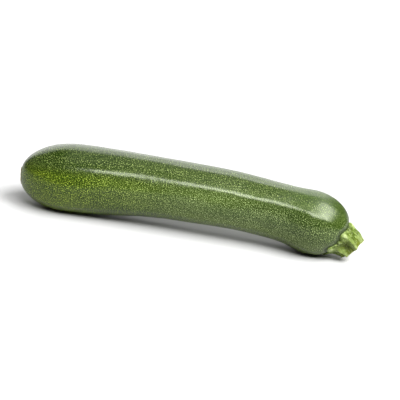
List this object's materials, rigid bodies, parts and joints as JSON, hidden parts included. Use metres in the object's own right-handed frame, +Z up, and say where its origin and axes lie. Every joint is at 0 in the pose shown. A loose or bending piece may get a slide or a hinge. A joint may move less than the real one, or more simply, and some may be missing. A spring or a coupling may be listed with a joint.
{
  "type": "courgette",
  "caption": "Whole green courgette, gently arched and softly ridged, with a blossom scar at one end and a ribbed stub of stem at the other.",
  "frame": {"origin": "on the table, under the centre of the bounding box of the courgette as it lies", "axes": "+X along the courgette towards its stem, +Z up from the table; the arch bends in the XZ plane"},
  "size_m": [0.2122, 0.042, 0.0415],
  "materials": {
    "skin": null,
    "stem": null
  },
  "bodies": {
    "root": {"fruit": "skin", "stem": "stem"}
  },
  "joints": []
}
